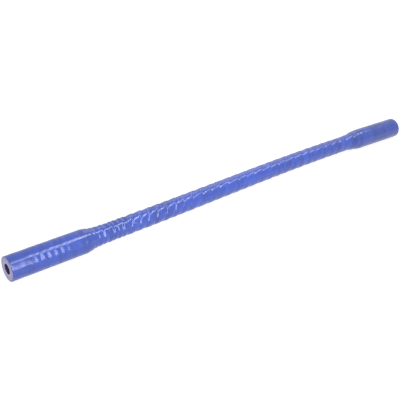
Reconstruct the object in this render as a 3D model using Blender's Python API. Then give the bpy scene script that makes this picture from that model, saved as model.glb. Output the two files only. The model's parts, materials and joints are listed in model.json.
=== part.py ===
"""Flexible silicone coolant hose, moulded in one piece.

Two thick plain cuffs take the hose clamps. Between them runs a thinner body whose wall carries the
shallow spiral ridges left by the wrapping tapes that it was cured in. The hose lies on the floor on its
two cuffs, along X, in a long shallow bend. The floor is z = 0.
"""

import math

import bmesh
import bpy
from mathutils import Vector

# Driving dimensions, in metres
HOSE_LENGTH = 0.914
BORE_DIAMETER = 0.016
CUFF_DIAMETER = 0.0405
BODY_DIAMETER = 0.0311
NEAR_CUFF_LENGTH = 0.121
FAR_CUFF_LENGTH = 0.106
NECK_LENGTH = 0.050
END_CHAMFER = 0.0006

# The body's spiral ridges, left by tapes wound side by side. The pitch is the step from one ridge to the
# next along the hose, and it grows where the winding was pulled longer
RIDGE_STARTS = 3
NEAR_PITCH = 0.0182
FAR_PITCH = 0.0215
PITCH_CHANGE_AT = 0.324
RIDGE_PHASE = math.radians(200.4)
RIDGE_HEIGHT = 0.0007
CREST_FLATTENING = 0.00035
RIDGE_FADE = 0.020

# The bend, seen from above: one long bow, and a weaker sway of two opposite halves
BOW = 0.0058
SWAY = 0.0042

# Fineness of the surface
SIDES = 24
BORE_SIDES = 32
RINGS_PER_PITCH = 5
PLAIN_RING_SPACING = 0.024
NECK_RING_SPACING = 0.006
CUTTER_OVERRUN = 0.010
CUTTER_POINT_SPACING = 0.045
WELD_DISTANCE = 0.00001
SHARP_FROM = math.radians(40)

CUFF_RADIUS = CUFF_DIAMETER / 2
BODY_RADIUS = BODY_DIAMETER / 2
BORE_RADIUS = BORE_DIAMETER / 2
# A flat side of the cuff's polygon lies on the floor
AXIS_HEIGHT = CUFF_RADIUS * math.cos(math.pi / SIDES)

HOSE_NAME = "coolant_hose"
SILICONE_BLUE = (0.078, 0.122, 0.578, 1.0)
SILICONE_ROUGHNESS = 0.42


def clear_scene():
    for old in list(bpy.data.objects):
        bpy.data.objects.remove(old, do_unlink=True)


def new_collection(name):
    collection = bpy.data.collections.new(name)
    bpy.context.scene.collection.children.link(collection)
    return collection


def eased(t):
    """0 below 0, 1 above 1, and a smooth step between."""
    t = min(max(t, 0.0), 1.0)
    return t * t * (3 - 2 * t)


def centre_at(s):
    """The point of the hose's centre line at the distance s from its near end."""
    u = s / HOSE_LENGTH
    sideways = BOW * 4 * u * (1 - u) - SWAY * math.sin(2 * math.pi * u)
    return Vector((s - HOSE_LENGTH / 2, sideways, AXIS_HEIGHT))


def heading_at(s):
    """The unit direction of the centre line at s."""
    u = s / HOSE_LENGTH
    slope = (BOW * 4 * (1 - 2 * u) - SWAY * 2 * math.pi * math.cos(2 * math.pi * u)) / HOSE_LENGTH
    return Vector((1, slope, 0)).normalized()


def body_share(s):
    """0 on the cuffs, 1 on the body, and between them on the necks."""
    from_near = (s - NEAR_CUFF_LENGTH) / NECK_LENGTH
    from_far = (HOSE_LENGTH - FAR_CUFF_LENGTH - s) / NECK_LENGTH
    return eased(from_near) * eased(from_far)


def ridge_share(s):
    """How far the ridges have grown at s: they fade in and out at the body's side of the necks."""
    from_near = (s - NEAR_CUFF_LENGTH - NECK_LENGTH / 2) / RIDGE_FADE
    from_far = (HOSE_LENGTH - FAR_CUFF_LENGTH - NECK_LENGTH / 2 - s) / RIDGE_FADE
    return eased(from_near) * eased(from_far)


def ridges_before(s):
    """How many ridges a straight line along the hose crosses between its near end and s."""
    near_stretch = min(s, PITCH_CHANGE_AT)
    return near_stretch / NEAR_PITCH + (s - near_stretch) / FAR_PITCH


def ridge_height(s, angle):
    """The surface's height over the body's mean radius: broad crests, and narrower grooves beside them."""
    phase = 2 * math.pi * ridges_before(s) + RIDGE_STARTS * angle + RIDGE_PHASE
    wave = RIDGE_HEIGHT / 2 * math.cos(phase)
    flattened = wave - CREST_FLATTENING / 2 * math.cos(2 * phase)
    return flattened * ridge_share(s)


def radius_at(s, angle):
    plain = CUFF_RADIUS + (BODY_RADIUS - CUFF_RADIUS) * body_share(s)
    from_end = min(s, HOSE_LENGTH - s)
    chamfer = max(END_CHAMFER - from_end, 0.0)
    return plain - chamfer + ridge_height(s, angle)


def spread(start, end, spacing):
    """Even stations from start up to but not including end, no further apart than spacing."""
    steps = max(1, math.ceil((end - start) / spacing))
    return [start + (end - start) * k / steps for k in range(steps)]


def stations():
    """The distances along the hose at which it has a ring of points."""
    near_neck = NEAR_CUFF_LENGTH
    near_body = near_neck + NECK_LENGTH / 2
    far_neck = HOSE_LENGTH - FAR_CUFF_LENGTH
    far_body = far_neck - NECK_LENGTH / 2
    found = [0.0]
    found += spread(END_CHAMFER, near_neck, PLAIN_RING_SPACING)
    found += spread(near_neck, near_body, NECK_RING_SPACING)
    found += spread(near_body, PITCH_CHANGE_AT, NEAR_PITCH / RINGS_PER_PITCH)
    found += spread(PITCH_CHANGE_AT, far_body, FAR_PITCH / RINGS_PER_PITCH)
    found += spread(far_body, far_neck, NECK_RING_SPACING)
    found += spread(far_neck, HOSE_LENGTH - END_CHAMFER, PLAIN_RING_SPACING)
    return found + [HOSE_LENGTH - END_CHAMFER, HOSE_LENGTH]


def ring_points(s):
    """The hose's section at s, square to its centre line, with a side of the polygon at the bottom."""
    centre = centre_at(s)
    up = Vector((0, 0, 1))
    aside = up.cross(heading_at(s))
    points = []
    for k in range(SIDES):
        angle = 2 * math.pi * (k + 0.5) / SIDES
        outwards = up * -math.cos(angle) + aside * math.sin(angle)
        points.append(centre + outwards * radius_at(s, angle))
    return points


def loft_hose(collection):
    """The hose's outer form, still solid: a loft through sections that the spiral ridges make unlike."""
    mesh = bmesh.new()
    rings = [[mesh.verts.new(point) for point in ring_points(s)] for s in stations()]
    for before, after in zip(rings, rings[1:]):
        for k in range(SIDES):
            following = (k + 1) % SIDES
            mesh.faces.new((before[k], before[following], after[following], after[k]))
    mesh.faces.new(reversed(rings[0]))
    mesh.faces.new(rings[-1])
    bmesh.ops.recalc_face_normals(mesh, faces=mesh.faces)
    data = bpy.data.meshes.new(HOSE_NAME)
    mesh.to_mesh(data)
    mesh.free()
    data.shade_smooth()
    data.set_sharp_from_angle(angle=SHARP_FROM)
    hose = bpy.data.objects.new(HOSE_NAME, data)
    collection.objects.link(hose)
    return hose


def bore_cutter(collection):
    """A round bar along the centre line, running out past both ends."""
    curve = bpy.data.curves.new("bore_line", "CURVE")
    curve.dimensions = "3D"
    curve.twist_mode = "Z_UP"
    curve.bevel_depth = BORE_RADIUS
    # A round bevel has four sides at resolution 0, and two more for each step
    curve.bevel_resolution = BORE_SIDES // 2 - 2
    curve.use_fill_caps = True
    inside = spread(0.0, HOSE_LENGTH, CUTTER_POINT_SPACING) + [HOSE_LENGTH]
    points = [centre_at(s) for s in inside]
    points.insert(0, centre_at(0.0) - heading_at(0.0) * CUTTER_OVERRUN)
    points.append(centre_at(HOSE_LENGTH) + heading_at(HOSE_LENGTH) * CUTTER_OVERRUN)
    spline = curve.splines.new("POLY")
    spline.points.add(len(points) - 1)
    for knot, point in zip(spline.points, points):
        knot.co = (*point, 1)
    line = bpy.data.objects.new("bore_line", curve)
    collection.objects.link(line)
    evaluated = line.evaluated_get(bpy.context.evaluated_depsgraph_get())
    data = bpy.data.meshes.new_from_object(evaluated)
    mesh = bmesh.new()
    mesh.from_mesh(data)
    bmesh.ops.remove_doubles(mesh, verts=mesh.verts, dist=WELD_DISTANCE)
    bmesh.ops.recalc_face_normals(mesh, faces=mesh.faces)
    mesh.to_mesh(data)
    mesh.free()
    cutter = bpy.data.objects.new("bore_cutter", data)
    cutter.matrix_world = line.matrix_world
    collection.objects.link(cutter)
    bpy.data.objects.remove(line)
    cutter.hide_render = True
    cutter.display_type = "WIRE"
    return cutter


def cut_bore(hose, cutter):
    cut = hose.modifiers.new("bore", "BOOLEAN")
    cut.operation = "DIFFERENCE"
    cut.solver = "EXACT"
    cut.object = cutter


def centre_over_origin(hose, cutter):
    """Moves both objects, so that the middle of the hose's box is over the origin."""
    for axis in (0, 1):
        reach = [corner.co[axis] for corner in hose.data.vertices]
        shift = -(min(reach) + max(reach)) / 2
        hose.location[axis] = shift
        cutter.location[axis] = shift


def silicone():
    material = bpy.data.materials.new("blue_silicone")
    material.use_nodes = True
    shader = material.node_tree.nodes["Principled BSDF"]
    shader.inputs["Base Color"].default_value = SILICONE_BLUE
    shader.inputs["Roughness"].default_value = SILICONE_ROUGHNESS
    shader.inputs["Metallic"].default_value = 0.0
    return material


def build():
    clear_scene()
    parts = new_collection("silicone_coolant_hose")
    cutters = new_collection("cutters")
    hose = loft_hose(parts)
    hose.data.materials.append(silicone())
    cutter = bore_cutter(cutters)
    cut_bore(hose, cutter)
    centre_over_origin(hose, cutter)


build()
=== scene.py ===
"""Looks of the silicone coolant hose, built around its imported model.

One finer mesh on the same centre line takes the solid's place, with the same cuffs, body, bore and spiral
ridges. It adds the creases, fine turns, ripples and unevenness that the wrapping tapes left, and the
materials of the skin, the cut ends and the bore. A camera, a white floor and soft lamps stand round it.
"""

import json
import math
from collections import namedtuple

import bpy
import numpy as np
from mathutils import Matrix, Vector


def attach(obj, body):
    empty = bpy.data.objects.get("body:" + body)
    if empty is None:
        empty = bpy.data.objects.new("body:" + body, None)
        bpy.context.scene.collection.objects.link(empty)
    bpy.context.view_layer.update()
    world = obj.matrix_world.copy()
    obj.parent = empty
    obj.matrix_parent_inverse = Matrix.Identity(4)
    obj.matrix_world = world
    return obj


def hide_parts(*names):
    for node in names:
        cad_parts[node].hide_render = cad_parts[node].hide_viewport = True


# The hose's sizes, in metres, as in the solid
HOSE_LENGTH = 0.914
BORE_RADIUS = 0.008
CUFF_RADIUS = 0.02025
BODY_RADIUS = 0.01555
NEAR_CUFF_LENGTH = 0.121
FAR_CUFF_LENGTH = 0.106
NECK_LENGTH = 0.050
BOW = 0.0058
SWAY = 0.0042
SOLID_SIDES = 24
AXIS_HEIGHT = CUFF_RADIUS * math.cos(math.pi / SOLID_SIDES)

# The near neck's finer form: most of it is a short steep step, and the rest a long slow one
NECK_STEP_START = 0.128
NECK_STEP_LENGTH = 0.020
NECK_STEP_SHARE = 0.62

# The spiral ridges, placed as in the solid, but running on over the far neck
RIDGE_STARTS = 3
NEAR_PITCH = 0.0182
FAR_PITCH = 0.0215
PITCH_CHANGE_AT = 0.324
RIDGE_PHASE = math.radians(200.4)
RIDGE_FADE = 0.020
FAR_RIDGES_END = 0.804
FAR_RIDGE_FADE = 0.014

# The ridges' finer form: turns that bulge a little, with a narrow crease between them
BULGE_HEIGHT = 0.00048
CREASE_DEPTH = 0.00060
CREASE_SHARE = 0.11

# The turns run ahead on one side of the hose and fall back on the other, by this share of the pitch
WRAP_WANDER = 0.30
WANDER_SIDE = math.radians(237)

# Their edges are faint beside the near neck, clear on the near third and calmer beyond it
FAINT_SHARE = 0.15
CLEAR_FROM = 0.190
CLEAR_GROWTH = 0.03
CALM_SHARE = 0.55
CALM_FROM = 0.340
CALM_GROWTH = 0.05

# The weaker marks of the layer below, wound the other way
CROSSING_HEIGHT = 0.00042
CROSSING_SHARE = 0.10
CROSSING_PHASE = 0.35

# The near cuff's ripples: two sets that cross
RIPPLE_HEIGHT = 0.00012
RIPPLE_PITCH = 0.0113
RIPPLE_LOBES = 3
RIPPLE_PHASE = 2.12
BACK_RIPPLE_PHASE = 2.08
BACK_RIPPLE_SHARE = 0.7
RIPPLE_START = 0.034
RIPPLE_GROWTH = 0.012
RIPPLE_END = 0.075
RIPPLE_FADE = 0.045

# The near neck's fine turns
FINE_TURN_HEIGHT = 0.00034
FINE_TURN_PITCH = 0.0091
FINE_TURN_START = 0.116
FINE_TURN_GROWTH = 0.04
FINE_TURN_END = 0.200
FINE_TURN_FADE = 0.02

# Slow waves that make the turns uneven. A wave has a height, the length along the hose in which it goes on by
# one radian, its lobes round the hose, and its phase
Wave = namedtuple("Wave", "height length lobes phase")
TURN_WAVES = (Wave(1.0, 0.0131, 0, 1.0), Wave(1.0, 0.0217, 2, 0.0))
TURN_UNEVENNESS = 0.05
FINE_TURN_WAVES = (Wave(0.4, 0.0057, 0, 0.0), Wave(0.3, 0.0083, -1, 0.0))

# The unevenness of the rubber: waves of many directions
LUMP_HEIGHT = 0.00009
LUMP_WAVES = 24
LUMP_LENGTHS = (0.010, 0.050)
LUMP_LOBES = 5
LUMP_SEED = 5

# Fineness of the mesh
SIDES = 88
RING_SPACING = 0.0010
BORE_RING_SPACING = 0.030
LIP_RADIUS = 0.0007
BORE_LIP_RADIUS = 0.0010
LIP_STEPS = 4
FACE_STEPS = 6
RELIEF_GROWTH = 0.002
SHARP_FROM = math.radians(50)

# The camera, for the photograph's view
CAMERA_PLACE = Vector((-0.7934, -0.8659, 0.5842))
CAMERA_HEADING = math.radians(50.82)
CAMERA_DIP = math.radians(27.0)
CAMERA_LENS_MM = 63.4
CAMERA_CLIP_START = 0.01
SENSOR_MM = 36.0

# The parts of a noise texture's range that the patterns use. The closer one gives a stronger pattern
NOISE_RANGE = (0.3, 0.7)
CLOSE_NOISE_RANGE = (0.35, 0.65)

# The skin's colour: deep blue up to one value of its shade, and the plain blue from another
DEEP_BLUE = (0.030, 0.083, 0.520)
DEEP_BLUE_UP_TO = 0.36
BLUE = (0.040, 0.101, 0.588)
BLUE_FROM = 0.56

# The skin's tone along the hose, with the stations between which each tone changes; on the far body it is
# painted shade
NEAR_CUFF_TONE = 0.93
NEAR_CUFF_TONE_CHANGE = (0.12, 0.15)
# Painted shade: the far body gets darker towards the far end
FAR_PAINTED_SHADE = 0.90
FAR_PAINTED_SHADE_CHANGE = (0.50, 0.74)
# The far cuff's own duller colour, together with the far body's painted shade
FAR_CUFF_TONE_AND_SHADE = 0.74
FAR_CUFF_TONE_CHANGE = (0.755, 0.780)

# How strongly the skin mirrors, where 0.5 is plain rubber or plastic
SKIN_SPECULAR = 0.8

# The skin's roughness: its plain value for tools that read no nodes, its range in patches, and how much is
# added on the near cuff and on the calm far body
SKIN_ROUGHNESS = 0.22
PATCH_ROUGHNESS = (0.10, 0.17)
NEAR_DULLNESS = 0.07
NEAR_DULLNESS_CHANGE = (0.10, 0.14)
FAR_DULLNESS = 0.06
FAR_DULLNESS_CHANGE = (0.34, 0.44)

# The skin's pattern: patches in space, and streaks, bands and threads on the wrap map
PATCH_SCALE = 45
PATCH_DETAIL = 3
STREAK_SCALES = (9, 260, 1)
STREAK_DETAIL = 3
STREAK_SHARE_OF_SHADE = 0.6
STREAK_SHARE_OF_DULLNESS = 0.3
BAND_SCALES = (75, 6, 1)
BAND_DETAIL = 2
BAND_TONES = (0.80, 1.18)
THREAD_SCALE = 330
THREAD_SHARE_OF_BUMP = 0.25
SKIN_BUMP_DEPTH = 0.00001
SKIN_BUMP_STRENGTH = 1.0

# The cut face: its colours at shares of the way from the skin to the bore, and its plies and grain
# The darkest colour, at the face's outer edge, is painted shade
CUT_EDGE_PAINTED_SHADE = (0.26, 0.24, 0.34)
CUT_LILAC = (0.52, 0.47, 0.76)
CUT_RIM = (0.68, 0.62, 0.97)
CUT_RINGS_WITH_EDGE_SHADE = ((0.0, CUT_EDGE_PAINTED_SHADE), (0.26, CUT_LILAC), (0.60, CUT_LILAC), (0.90, CUT_RIM))
CUT_ROUGHNESS = 0.6
PLY_THICKNESS = 0.0024
PLY_TONE = 0.04
CUT_GRAIN_SCALE = 900
CUT_GRAIN_DETAIL = 3
CUT_GRAIN_TONES = (0.90, 1.08)
CUT_BUMP_STRENGTH = 0.6

# The bore's wall
BORE_BLUE = (0.035, 0.035, 0.11)
BORE_DARK_SHARE = 0.7
BORE_ROUGHNESS = 0.5
BORE_GRAIN_SCALE = 300
BORE_GRAIN_DETAIL = 2
BORE_BUMP_STRENGTH = 0.4

# How deep the grain is, on the cut faces and in the bore
GRAIN_BUMP_DEPTH = 0.0001

# The light from all round on the object, and the floor's grey for the lamps and glow to the camera
AMBIENT = 0.08
WHITE = (1, 1, 1, 1)
FLOOR_GREY = (0.55, 0.55, 0.55, 1)
FLOOR_GLOW = 0.80
FLOOR_REACH = 4.0

# The lamps. The long tube overhead is made in stretches, each between two places seen from above and turned
# towards a third
LAMP_HEIGHT = 1.4
TUBE_DEPTH = 0.40
Stretch = namedtuple("Stretch", "name near far brightness aim")
TUBE_STRETCHES = (
    Stretch("near_tube", (-0.2, -0.65), (0.2, -0.51), 2.8, (0.0, -0.2)),
    Stretch("tube", (0.2, -0.51), (0.80, -0.30), 6.6, (0.4, -0.2)),
    Stretch("far_tube", (0.80, -0.30), (1.25, -0.15), 1.7, (1.0, 0)),
    Stretch("spot_tube", (1.25, -0.20), (1.50, -0.12), 5.2, (1.2, 0)),
    Stretch("end_tube", (1.50, -0.06), (1.75, 0.03), 0.9, (1.4, 0)),
)

# The mesh's zones, which are also its material slots
SKIN, CUT_FACE, BORE_WALL = 0, 1, 2


def eased(t):
    """0 below 0, 1 above 1, and a smooth step between."""
    t = np.clip(t, 0.0, 1.0)
    return t * t * (3 - 2 * t)


def between(s, start, growth, end, fade):
    """0 off a stretch of the hose and 1 on it: it grows in from its start and fades out from its end."""
    return eased((s - start) / growth) * (1 - eased((s - end) / fade))


def near_end_centre(frame):
    """The middle of the near end, from the mount that lies on its face."""
    mounts = {mount["name"]: mount for mount in frame["record"]["mounts"]}
    x, y, _ = mounts["near_end"]["pos_m"]
    return np.array([x, y, AXIS_HEIGHT])


def centre_at(s, start):
    """The centre line's points at the distances s from the near end."""
    u = s / HOSE_LENGTH
    sideways = BOW * 4 * u * (1 - u) - SWAY * np.sin(2 * np.pi * u)
    return start + np.stack([s, sideways, np.zeros_like(s)], axis=-1)


def heading_at(s):
    """The unit directions of the centre line at s."""
    u = s / HOSE_LENGTH
    slope = (BOW * 4 * (1 - 2 * u) - SWAY * 2 * np.pi * np.cos(2 * np.pi * u)) / HOSE_LENGTH
    heading = np.stack([np.ones_like(s), slope, np.zeros_like(s)], axis=-1)
    return heading / np.linalg.norm(heading, axis=-1, keepdims=True)


def body_share(s):
    """0 on the cuffs, 1 on the body, and between them on the necks."""
    step = eased((s - NECK_STEP_START) / NECK_STEP_LENGTH)
    slow = eased((s - NECK_STEP_START) / NECK_LENGTH)
    from_far = (HOSE_LENGTH - FAR_CUFF_LENGTH - s) / NECK_LENGTH
    return (NECK_STEP_SHARE * step + (1 - NECK_STEP_SHARE) * slow) * eased(from_far)


def ridge_share(s):
    """How far the ridges have grown at s."""
    from_near = (s - NEAR_CUFF_LENGTH - NECK_LENGTH / 2) / RIDGE_FADE
    from_far = (FAR_RIDGES_END - s) / FAR_RIDGE_FADE
    return eased(from_near) * eased(from_far)


def ridges_before(s):
    """How many ridges a straight line along the hose crosses between its near end and s."""
    near_stretch = np.minimum(s, PITCH_CHANGE_AT)
    return near_stretch / NEAR_PITCH + (s - near_stretch) / FAR_PITCH


def from_crease(count):
    """How far a place is from the nearest crease, as a share of the pitch, for its count of ridges."""
    return 0.5 - np.abs(count - np.round(count))


def sharpness(s):
    """How clear the ridges' edges are at s."""
    clear = eased((s - CLEAR_FROM) / CLEAR_GROWTH)
    calm = eased((s - CALM_FROM) / CALM_GROWTH)
    return (FAINT_SHARE + (1 - FAINT_SHARE) * clear) * (1 - CALM_SHARE * calm)


def wave_sum(waves, s, angle):
    """The sum of some slow waves at a place."""
    return sum(wave.height * np.sin(s / wave.length + wave.lobes * angle + wave.phase) for wave in waves)


def ridge_height(s, angle):
    """The turns' height over the body's mean radius: a slight bulge, with a narrow crease between them."""
    uneven = TURN_UNEVENNESS * wave_sum(TURN_WAVES, s, angle)
    wander = WRAP_WANDER * np.cos(angle - WANDER_SIDE)
    count = ridges_before(s) + (RIDGE_PHASE + RIDGE_STARTS * angle) / (2 * np.pi) + uneven + wander
    away = from_crease(count)
    # A third is the square's mean over a turn, so the bulge leaves the mean radius as it is
    bulge = BULGE_HEIGHT * (1 / 3 - (1 - 2 * away) ** 2)
    crease = CREASE_DEPTH * np.exp(-((away / CREASE_SHARE) ** 2))
    return (bulge - crease * sharpness(s)) * ridge_share(s)


def crossing_height(s, angle):
    """The edges of the tapes of the layer below, which run the other way round."""
    count = ridges_before(s) + CROSSING_PHASE - RIDGE_STARTS * angle / (2 * np.pi)
    away = from_crease(count)
    return CROSSING_HEIGHT * np.exp(-((away / CROSSING_SHARE) ** 2)) * ridge_share(s) * sharpness(s)


def ripple_height(s, angle):
    """The near cuff's ripples, which start a little way in from its end."""
    share = between(s, RIPPLE_START, RIPPLE_GROWTH, RIPPLE_END, RIPPLE_FADE)
    turn = 2 * np.pi * s / RIPPLE_PITCH
    there = np.cos(turn - RIPPLE_LOBES * angle + RIPPLE_PHASE)
    back = np.cos(turn + RIPPLE_LOBES * angle + BACK_RIPPLE_PHASE)
    return RIPPLE_HEIGHT * share * (there + BACK_RIPPLE_SHARE * back)


def fine_turn_height(s, angle):
    """The fine turns on the near neck and just past it."""
    share = between(s, FINE_TURN_START, FINE_TURN_GROWTH, FINE_TURN_END, FINE_TURN_FADE)
    turn = 2 * np.pi * s / FINE_TURN_PITCH + wave_sum(FINE_TURN_WAVES, s, angle)
    return FINE_TURN_HEIGHT * share * np.cos(turn)


def lump_height(s, angle):
    """The soft lumps of the whole skin."""
    random = np.random.default_rng(LUMP_SEED)
    total = np.zeros(np.broadcast(s, angle).shape)
    for _ in range(LUMP_WAVES):
        length = random.uniform(*LUMP_LENGTHS)
        lobes = random.integers(-LUMP_LOBES, LUMP_LOBES + 1)
        phase = random.uniform(0, 2 * np.pi)
        total += np.cos(2 * np.pi * s / length + lobes * angle + phase)
    return LUMP_HEIGHT * total / math.sqrt(LUMP_WAVES)


def relief(s, angle):
    """Everything that the skin's surface adds to its plain radius."""
    parts = (ridge_height, crossing_height, ripple_height, fine_turn_height, lump_height)
    return sum(part(s, angle) for part in parts)


def section_rings():
    """The rings round the hose's whole section, as stations, radii on a cuff, and the zone after each.

    They run up the near lip, along the skin, down the far lip and face, and back through the bore.
    """
    quarter = np.linspace(0, np.pi / 2, LIP_STEPS + 1)
    lip_s = LIP_RADIUS * (1 - np.cos(quarter))
    lip_r = CUFF_RADIUS - LIP_RADIUS * (1 - np.sin(quarter))
    mouth_s = BORE_LIP_RADIUS * (1 - np.cos(quarter))
    mouth_r = BORE_RADIUS + BORE_LIP_RADIUS * (1 - np.sin(quarter))
    skin_count = round(HOSE_LENGTH / RING_SPACING)
    skin_s = np.linspace(LIP_RADIUS, HOSE_LENGTH - LIP_RADIUS, skin_count)[1:-1]
    face_r = np.linspace(lip_r[0], mouth_r[0], FACE_STEPS + 1)[1:-1]
    bore_count = round(HOSE_LENGTH / BORE_RING_SPACING)
    bore_s = np.linspace(HOSE_LENGTH - BORE_LIP_RADIUS, BORE_LIP_RADIUS, bore_count)[1:-1]
    runs = [
        (lip_s, lip_r, SKIN),
        (skin_s, np.full_like(skin_s, CUFF_RADIUS), SKIN),
        (HOSE_LENGTH - lip_s[::-1], lip_r[::-1], SKIN),
        (np.full_like(face_r, HOSE_LENGTH), face_r, CUT_FACE),
        (HOSE_LENGTH - mouth_s, mouth_r, BORE_WALL),
        (bore_s, np.full_like(bore_s, BORE_RADIUS), BORE_WALL),
        (mouth_s[::-1], mouth_r[::-1], BORE_WALL),
        (np.zeros_like(face_r), face_r[::-1], CUT_FACE),
    ]
    stations = np.concatenate([run[0] for run in runs])
    radii = np.concatenate([run[1] for run in runs])
    zones = np.concatenate([np.full(len(run[0]), run[2]) for run in runs])
    # The last ring before each cut face already belongs to it
    before_face = (zones != CUT_FACE) & (np.roll(zones, -1) == CUT_FACE)
    zones[before_face] = CUT_FACE
    return stations, radii, zones


def skin_relief(stations, angle):
    """The relief on the skin, growing from nothing at each end's lip."""
    s = stations[:, None]
    from_end = np.minimum(s, HOSE_LENGTH - s)
    return relief(s, angle) * eased((from_end - LIP_RADIUS) / RELIEF_GROWTH)


def add_wrap_map(mesh, stations, radii):
    """A UV map in metres: along the hose, which goes on inwards on the cut faces, and round it."""
    outwards = np.where(stations < HOSE_LENGTH / 2, -1, 1)
    along = stations + outwards * (CUFF_RADIUS - radii)
    rings = len(stations)
    ring, side = np.meshgrid(np.arange(rings), np.arange(SIDES), indexing="ij")
    step = 2 * np.pi * CUFF_RADIUS / SIDES
    corners = []
    for ring_step, side_step in ((0, 0), (0, 1), (1, 1), (1, 0)):
        at = (ring + ring_step) % rings
        corners.append(np.stack([along[at], (side + side_step) * step], axis=-1))
    layer = mesh.uv_layers.new(name="wrap")
    layer.data.foreach_set("uv", np.stack(corners, axis=2).reshape(-1).astype(np.float32))


def hose_points(stations, radii, zones, start):
    """Each ring's points round the centre line, none of them below the floor."""
    angle = 2 * np.pi * np.arange(SIDES) / SIDES
    on_skin = (zones == SKIN)[:, None]
    drawn_in = ((CUFF_RADIUS - BODY_RADIUS) * body_share(stations))[:, None]
    radius = radii[:, None] + on_skin * (skin_relief(stations, angle) - drawn_in)
    up = np.array([0.0, 0.0, 1.0])
    aside = np.cross(up, heading_at(stations))[:, None, :]
    outwards = aside * np.sin(angle)[None, :, None] - up * np.cos(angle)[None, :, None]
    points = centre_at(stations, start)[:, None, :] + outwards * radius[..., None]
    points[..., 2] = np.maximum(points[..., 2], 0.0)
    return points


def ring_faces(rings):
    """The faces between each ring and the next, and from the last ring back to the first."""
    ring, side = np.meshgrid(np.arange(rings), np.arange(SIDES), indexing="ij")
    next_ring = (ring + 1) % rings
    next_side = (side + 1) % SIDES
    corners = [
        ring * SIDES + side,
        ring * SIDES + next_side,
        next_ring * SIDES + next_side,
        next_ring * SIDES + side,
    ]
    return np.stack(corners, axis=-1).reshape(-1, 4)


def hose_mesh(start):
    """The whole hose as one closed mesh, with its wrap map and each face's material index set to its zone."""
    stations, radii, zones = section_rings()
    points = hose_points(stations, radii, zones, start)
    faces = ring_faces(len(stations))
    mesh = bpy.data.meshes.new("silicone_hose")
    mesh.from_pydata(points.reshape(-1, 3).tolist(), [], faces.tolist())
    mesh.polygons.foreach_set("material_index", np.repeat(zones, SIDES).astype(np.int32))
    add_wrap_map(mesh, stations, radii)
    mesh.shade_smooth()
    mesh.set_sharp_from_angle(angle=SHARP_FROM)
    return mesh


def new_material(name, roughness):
    """A material with its tree and its Principled shader."""
    material = bpy.data.materials.new(name)
    material.use_nodes = True
    tree = material.node_tree
    shader = tree.nodes["Principled BSDF"]
    shader.inputs["Roughness"].default_value = roughness
    return material, tree, shader


def scaled_place(tree, output, scale):
    """A texture coordinate output, stretched by these scales."""
    mapping = tree.nodes.new("ShaderNodeMapping")
    mapping.inputs["Scale"].default_value = scale
    tree.links.new(output, mapping.inputs["Vector"])
    return mapping.outputs["Vector"]


def noise(tree, place, scale, detail):
    """Soft noise between 0 and 1 at a place."""
    texture = tree.nodes.new("ShaderNodeTexNoise")
    texture.inputs["Scale"].default_value = scale
    texture.inputs["Detail"].default_value = detail
    tree.links.new(place, texture.inputs["Vector"])
    return texture.outputs["Fac"]


def ramp(tree, value, stops):
    """Colours at positions along a value."""
    node = tree.nodes.new("ShaderNodeValToRGB")
    elements = node.color_ramp.elements
    while len(elements) < len(stops):
        elements.new(0.5)
    for element, (position, color) in zip(elements, stops):
        element.position = position
        element.color = (*color, 1.0)
    tree.links.new(value, node.inputs["Fac"])
    return node.outputs["Color"]


def remapped(tree, value, limits, results):
    """A value that goes from one result to the other between two limits, and stays there beyond them."""
    node = tree.nodes.new("ShaderNodeMapRange")
    for name, number in zip(("From Min", "From Max", "To Min", "To Max"), (*limits, *results)):
        node.inputs[name].default_value = number
    tree.links.new(value, node.inputs["Value"])
    return node.outputs["Result"]


def first_part(tree, place):
    """The first part of a place: on the wrap map, the distance along the hose."""
    node = tree.nodes.new("ShaderNodeSeparateXYZ")
    tree.links.new(place, node.inputs["Vector"])
    return node.outputs["X"]


def toned(tree, color, tone):
    """A colour made darker or lighter by a factor."""
    node = tree.nodes.new("ShaderNodeVectorMath")
    node.operation = "SCALE"
    tree.links.new(color, node.inputs["Vector"])
    tree.links.new(tone, node.inputs["Scale"])
    return node.outputs["Vector"]


def calculated(tree, operation, first, second=0):
    """One Math node on an output, and on a second output or a number."""
    node = tree.nodes.new("ShaderNodeMath")
    node.operation = operation
    for socket, value in zip(node.inputs, (first, second)):
        if isinstance(value, (int, float)):
            socket.default_value = value
        else:
            tree.links.new(value, socket)
    return node.outputs["Value"]


def blended(tree, first, share, second):
    """This share of the first output, and the rest of the second."""
    part = calculated(tree, "MULTIPLY", first, share)
    rest = calculated(tree, "MULTIPLY", second, 1 - share)
    return calculated(tree, "ADD", part, rest)


def bumped(tree, shader, height, distance, strength):
    """Gives a shader its bump from a height output."""
    bump = tree.nodes.new("ShaderNodeBump")
    bump.inputs["Distance"].default_value = distance
    bump.inputs["Strength"].default_value = strength
    tree.links.new(height, bump.inputs["Height"])
    tree.links.new(bump.outputs["Normal"], shader.inputs["Normal"])


def weave(tree, place, scale):
    """The imprint of a cloth's threads: the higher of two crossed waves at each place."""
    waves = []
    for direction in ("X", "Y"):
        wave = tree.nodes.new("ShaderNodeTexWave")
        wave.bands_direction = direction
        wave.inputs["Scale"].default_value = scale
        wave.inputs["Distortion"].default_value = 0.0
        tree.links.new(place, wave.inputs["Vector"])
        waves.append(wave.outputs["Fac"])
    return calculated(tree, "MAXIMUM", *waves)


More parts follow.
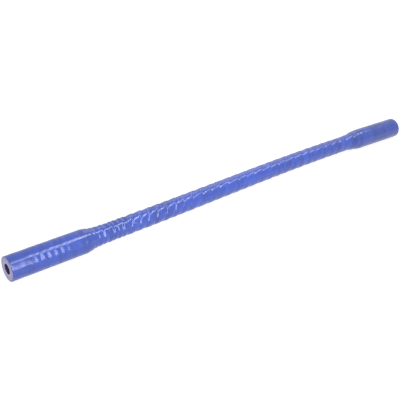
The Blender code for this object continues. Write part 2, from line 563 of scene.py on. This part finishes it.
def length_tone_and_shade(tree, along):
    """The skin's tone along the hose, before its bands, with painted shade darkening the far body."""
    near_cuff = remapped(tree, along, NEAR_CUFF_TONE_CHANGE, (NEAR_CUFF_TONE, 1))
    far_painted_shade = remapped(tree, along, FAR_PAINTED_SHADE_CHANGE, (1, FAR_PAINTED_SHADE))
    # The far cuff's own duller step, with the far body's painted shade divided out
    far_cuff = remapped(tree, along, FAR_CUFF_TONE_CHANGE, (1, FAR_CUFF_TONE_AND_SHADE / FAR_PAINTED_SHADE))
    near_tone_and_far_shade = calculated(tree, "MULTIPLY", near_cuff, far_painted_shade)
    return calculated(tree, "MULTIPLY", near_tone_and_far_shade, far_cuff)


def length_dullness(tree, along):
    """How much rougher than its patches the skin is along the hose."""
    near = remapped(tree, along, NEAR_DULLNESS_CHANGE, (NEAR_DULLNESS, 0))
    far = remapped(tree, along, FAR_DULLNESS_CHANGE, (0, FAR_DULLNESS))
    return calculated(tree, "ADD", near, far)


def skin_material():
    """Glossy blue rubber with the imprint of the tapes' weave, long faint streaks and duller patches."""
    material, tree, shader = new_material("silicone_skin", SKIN_ROUGHNESS)
    shader.inputs["Specular IOR Level"].default_value = SKIN_SPECULAR
    coordinates = tree.nodes.new("ShaderNodeTexCoord")
    wrap_place = coordinates.outputs["UV"]
    along = first_part(tree, wrap_place)
    patches = noise(tree, coordinates.outputs["Object"], PATCH_SCALE, PATCH_DETAIL)
    streaks = noise(tree, scaled_place(tree, wrap_place, STREAK_SCALES), 1, STREAK_DETAIL)
    bands = noise(tree, scaled_place(tree, wrap_place, BAND_SCALES), 1, BAND_DETAIL)
    shade = blended(tree, streaks, STREAK_SHARE_OF_SHADE, patches)
    blue = ramp(tree, shade, ((DEEP_BLUE_UP_TO, DEEP_BLUE), (BLUE_FROM, BLUE)))
    band_tone = remapped(tree, bands, NOISE_RANGE, BAND_TONES)
    # The tone along the hose, with its painted shade on the far body, times the bands
    tone = calculated(tree, "MULTIPLY", length_tone_and_shade(tree, along), band_tone)
    tree.links.new(toned(tree, blue, tone), shader.inputs["Base Color"])
    dullness = blended(tree, streaks, STREAK_SHARE_OF_DULLNESS, patches)
    patch_roughness = remapped(tree, dullness, CLOSE_NOISE_RANGE, PATCH_ROUGHNESS)
    roughness = calculated(tree, "ADD", patch_roughness, length_dullness(tree, along))
    tree.links.new(roughness, shader.inputs["Roughness"])
    threads = calculated(tree, "MULTIPLY", weave(tree, wrap_place, THREAD_SCALE), THREAD_SHARE_OF_BUMP)
    height = calculated(tree, "ADD", threads, streaks)
    bumped(tree, shader, height, SKIN_BUMP_DEPTH, SKIN_BUMP_STRENGTH)
    return material


def depth_in_cut(tree, along):
    """How far a place on either cut face is in from the skin, from its distance on the wrap map."""
    from_near = calculated(tree, "MULTIPLY", along, -1)
    from_far = calculated(tree, "SUBTRACT", along, HOSE_LENGTH)
    return calculated(tree, "MAXIMUM", from_near, from_far)


def cut_face_material():
    """The cut through the wall: lilac rubber with painted shade at its outer edge, paler round the bore, with
    the faint rings of its plies.
    """
    material, tree, shader = new_material("silicone_cut", CUT_ROUGHNESS)
    coordinates = tree.nodes.new("ShaderNodeTexCoord")
    grain = noise(tree, coordinates.outputs["Object"], CUT_GRAIN_SCALE, CUT_GRAIN_DETAIL)
    inwards = depth_in_cut(tree, first_part(tree, coordinates.outputs["UV"]))
    ply_turn = calculated(tree, "MULTIPLY", inwards, 2 * math.pi / PLY_THICKNESS)
    ply_tone = calculated(tree, "MULTIPLY", calculated(tree, "SINE", ply_turn), PLY_TONE)
    depth = remapped(tree, inwards, (0, CUFF_RADIUS - BORE_RADIUS), (0, 1))
    # The lilac rings, with painted shade at the outer edge
    rings = ramp(tree, depth, CUT_RINGS_WITH_EDGE_SHADE)
    grain_tone = remapped(tree, grain, NOISE_RANGE, CUT_GRAIN_TONES)
    mottle = calculated(tree, "ADD", grain_tone, ply_tone)
    tree.links.new(toned(tree, rings, mottle), shader.inputs["Base Color"])
    bumped(tree, shader, grain, GRAIN_BUMP_DEPTH, CUT_BUMP_STRENGTH)
    return material


def bore_material():
    """The bore's dark wall, which is rougher than the skin."""
    material, tree, shader = new_material("silicone_bore", BORE_ROUGHNESS)
    coordinates = tree.nodes.new("ShaderNodeTexCoord")
    grain = noise(tree, coordinates.outputs["Object"], BORE_GRAIN_SCALE, BORE_GRAIN_DETAIL)
    darker = tuple(BORE_DARK_SHARE * part for part in BORE_BLUE)
    low, high = CLOSE_NOISE_RANGE
    tree.links.new(ramp(tree, grain, ((low, darker), (high, BORE_BLUE))), shader.inputs["Base Color"])
    bumped(tree, shader, grain, GRAIN_BUMP_DEPTH, BORE_BUMP_STRENGTH)
    return material


def make_hose(start):
    """The hose's object, with its materials in the order of the zones."""
    mesh = hose_mesh(start)
    mesh.materials.append(skin_material())
    mesh.materials.append(cut_face_material())
    mesh.materials.append(bore_material())
    hose = bpy.data.objects.new("silicone_hose", mesh)
    bpy.context.scene.collection.objects.link(hose)
    return hose


def make_camera():
    """The camera at the photograph's viewpoint."""
    data = bpy.data.cameras.new("camera")
    data.lens = CAMERA_LENS_MM
    data.sensor_width = SENSOR_MM
    data.clip_start = CAMERA_CLIP_START
    camera = bpy.data.objects.new("camera", data)
    camera.location = CAMERA_PLACE
    camera.rotation_euler = (math.pi / 2 - CAMERA_DIP, 0, CAMERA_HEADING - math.pi / 2)
    bpy.context.scene.collection.objects.link(camera)
    bpy.context.scene.camera = camera


def shows_backdrop(tree):
    """1 for the rays that show the white backdrop, and 0 for those that only carry light to the object."""
    path = tree.nodes.new("ShaderNodeLightPath")
    either = path.outputs["Is Camera Ray"]
    for name in ("Is Glossy Ray", "Is Transmission Ray"):
        either = calculated(tree, "MAXIMUM", either, path.outputs[name])
    return either


def make_world():
    """A world that looks white, and gives the object only a weak light from all round."""
    world = bpy.data.worlds.new("studio")
    world.use_nodes = True
    bpy.context.scene.world = world
    tree = world.node_tree
    tree.nodes.clear()
    background = tree.nodes.new("ShaderNodeBackground")
    background.inputs["Color"].default_value = WHITE
    strength = remapped(tree, shows_backdrop(tree), (0, 1), (AMBIENT, 1))
    tree.links.new(strength, background.inputs["Strength"])
    output = tree.nodes.new("ShaderNodeOutputWorld")
    tree.links.new(background.outputs[0], output.inputs["Surface"])


def floor_material():
    """A white floor that takes the object's shadow, and to the camera is as white as the backdrop."""
    material = bpy.data.materials.new("floor_white")
    material.use_nodes = True
    tree = material.node_tree
    tree.nodes.clear()
    lit = tree.nodes.new("ShaderNodeBsdfDiffuse")
    lit.inputs["Color"].default_value = FLOOR_GREY
    white = tree.nodes.new("ShaderNodeEmission")
    glow = calculated(tree, "MULTIPLY", shows_backdrop(tree), FLOOR_GLOW)
    tree.links.new(glow, white.inputs["Strength"])
    both = tree.nodes.new("ShaderNodeAddShader")
    tree.links.new(lit.outputs[0], both.inputs[0])
    tree.links.new(white.outputs[0], both.inputs[1])
    output = tree.nodes.new("ShaderNodeOutputMaterial")
    tree.links.new(both.outputs[0], output.inputs["Surface"])
    return material


def make_floor():
    """The square floor that the hose lies on, which isn't part of it."""
    data = bpy.data.meshes.new("floor")
    corners = [(x * FLOOR_REACH, y * FLOOR_REACH, 0) for x, y in ((-1, -1), (1, -1), (1, 1), (-1, 1))]
    data.from_pydata(corners, [], [(0, 1, 2, 3)])
    data.materials.append(floor_material())
    floor = bpy.data.objects.new("floor", data)
    bpy.context.scene.collection.objects.link(floor)


def area_light(name, near, far, depth, brightness, aim, mirrored=True):
    """A lamp between two places, this deep and turned towards aim.

    Its face has this brightness, where lit white paper has 1. One that isn't mirrored lights the object
    without showing as a reflection.
    """
    along = Vector(far) - Vector(near)
    data = bpy.data.lights.new(name, "AREA")
    data.shape = "RECTANGLE"
    data.size = along.length
    data.size_y = depth
    data.energy = brightness * math.pi * data.size * data.size_y
    light = bpy.data.objects.new(name, data)
    middle = (Vector(near) + Vector(far)) / 2
    side = along.normalized()
    back = (middle - Vector(aim)).normalized()
    back = (back - side * back.dot(side)).normalized()
    turn = Matrix((side, back.cross(side), back)).transposed().to_4x4()
    light.matrix_world = Matrix.Translation(middle) @ turn
    light.visible_camera = False
    light.visible_glossy = mirrored
    bpy.context.scene.collection.objects.link(light)


def make_lights():
    """A window in front, a lamp far to the left, a soft one behind, a dim fill further back, and a long tube.

    The smooth near end mirrors the window's right edge, and beyond it only the ridges' near flanks do. The
    left lamp gives the side towards the camera most of its plain light, and the fill does so for the side
    turned away. The tube overhead draws the long line on the hose's upper side, stronger and weaker by
    stretches.
    """
    area_light(
        "window",
        near=(-0.30, -1.5, LAMP_HEIGHT),
        far=(0.12, -1.5, LAMP_HEIGHT),
        depth=2.6,
        brightness=5.2,
        aim=(-0.09, 0, LAMP_HEIGHT),
    )
    area_light(
        "left",
        near=(-2.6, -1.5, 1.2),
        far=(-2.0, -2.1, 1.2),
        depth=0.9,
        brightness=17.0,
        aim=(0, 0, 0),
    )
    area_light(
        "behind",
        near=(0.5, 1.0, LAMP_HEIGHT),
        far=(1.9, 1.0, LAMP_HEIGHT),
        depth=1.1,
        brightness=0.8,
        aim=(0.3, 0, 0),
    )
    area_light(
        "back_fill",
        near=(-2.5, 3.0, 0.9),
        far=(2.5, 3.0, 0.9),
        depth=1.7,
        brightness=1.4,
        aim=(0, 0, 0),
        mirrored=False,
    )
    for stretch in TUBE_STRETCHES:
        area_light(
            stretch.name,
            near=(*stretch.near, LAMP_HEIGHT),
            far=(*stretch.far, LAMP_HEIGHT),
            depth=TUBE_DEPTH,
            brightness=stretch.brightness,
            aim=(*stretch.aim, 0),
        )


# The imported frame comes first, then the hose in the solid's place, and then the studio round it
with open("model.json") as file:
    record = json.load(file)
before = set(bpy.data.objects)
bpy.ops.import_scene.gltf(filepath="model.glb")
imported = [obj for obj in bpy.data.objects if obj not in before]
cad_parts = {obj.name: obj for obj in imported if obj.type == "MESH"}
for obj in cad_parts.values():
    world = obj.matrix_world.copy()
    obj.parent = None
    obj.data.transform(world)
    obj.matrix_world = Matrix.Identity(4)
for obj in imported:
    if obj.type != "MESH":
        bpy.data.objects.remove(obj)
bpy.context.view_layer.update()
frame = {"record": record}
start = near_end_centre(frame)
make_camera()
hose = make_hose(start)
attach(hose, "root")
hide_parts("coolant_hose")
make_floor()
make_world()
make_lights()
bpy.context.scene.view_settings.view_transform = "Standard"
